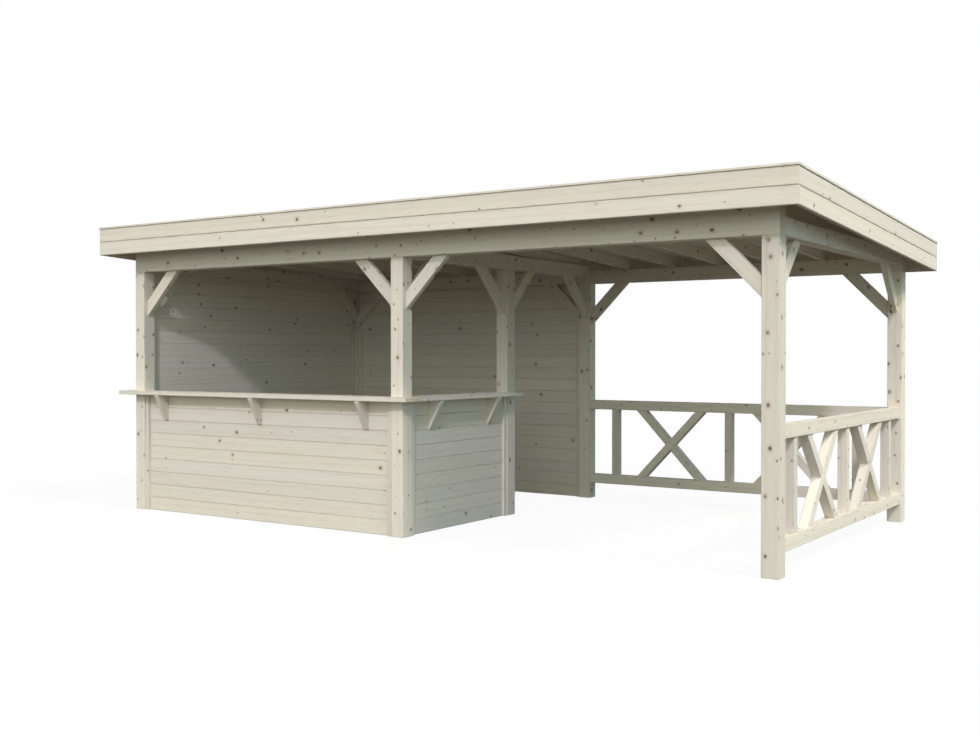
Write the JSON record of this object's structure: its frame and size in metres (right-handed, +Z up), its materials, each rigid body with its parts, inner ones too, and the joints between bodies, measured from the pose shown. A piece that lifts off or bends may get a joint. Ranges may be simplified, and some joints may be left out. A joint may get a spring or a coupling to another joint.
{
  "type": "garden pavilion",
  "caption": "Open timber garden pavilion with a mono-pitch roof, a boarded corner bar with a serving counter, and a railed lounge bay.",
  "frame": {"origin": "on the ground at the centre of the post grid, which is also the centre of the roof", "axes": "+X along the open front to the right, +Y to the back, +Z up"},
  "size_m": [6.532, 3.612, 2.5843],
  "materials": {
    "frame_timber": "planed, unpainted spruce",
    "roof_timber": "planed, unpainted spruce",
    "fascia_boards": "planed, unpainted spruce",
    "wall_boards": "planed, unpainted spruce",
    "trim_timber": "planed, unpainted spruce",
    "railing_timber": "planed, unpainted spruce",
    "roofing_felt": "mineral-faced bitumen felt"
  },
  "bodies": {
    "root": {"front_left_post": "frame_timber", "front_middle_post": "frame_timber", "front_right_post": "frame_timber", "back_left_post": "frame_timber", "back_middle_post": "frame_timber", "back_right_post": "frame_timber", "inner_bar_post": "frame_timber", "front_beam": "frame_timber", "back_beam": "frame_timber", "left_beam": "frame_timber", "middle_beam": "frame_timber", "right_beam": "frame_timber", "front_left_braces": "frame_timber", "front_middle_braces": "frame_timber", "front_right_braces": "frame_timber", "back_left_braces": "frame_timber", "back_middle_braces": "frame_timber", "back_right_braces": "frame_timber", "inner_post_braces": "frame_timber", "rafters": "roof_timber", "roof_deck": "roof_timber", "roof_felt": "roofing_felt", "front_fascia": "fascia_boards", "back_fascia": "fascia_boards", "left_fascia": "fascia_boards", "right_fascia": "fascia_boards", "left_wall": "wall_boards", "back_wall": "wall_boards", "bar_front_wall": "wall_boards", "bar_side_wall": "wall_boards", "edge_caps": "trim_timber", "wall_battens": "trim_timber", "bar_battens": "trim_timber", "front_counter": "trim_timber", "side_counter": "trim_timber", "counter_brackets": "trim_timber", "side_top_rail": "railing_timber", "side_bottom_rail": "railing_timber", "side_balusters": "railing_timber", "side_crosses": "railing_timber", "back_top_rail": "railing_timber", "back_bottom_rail": "railing_timber", "back_balusters": "railing_timber", "back_crosses": "railing_timber"}
  },
  "joints": []
}
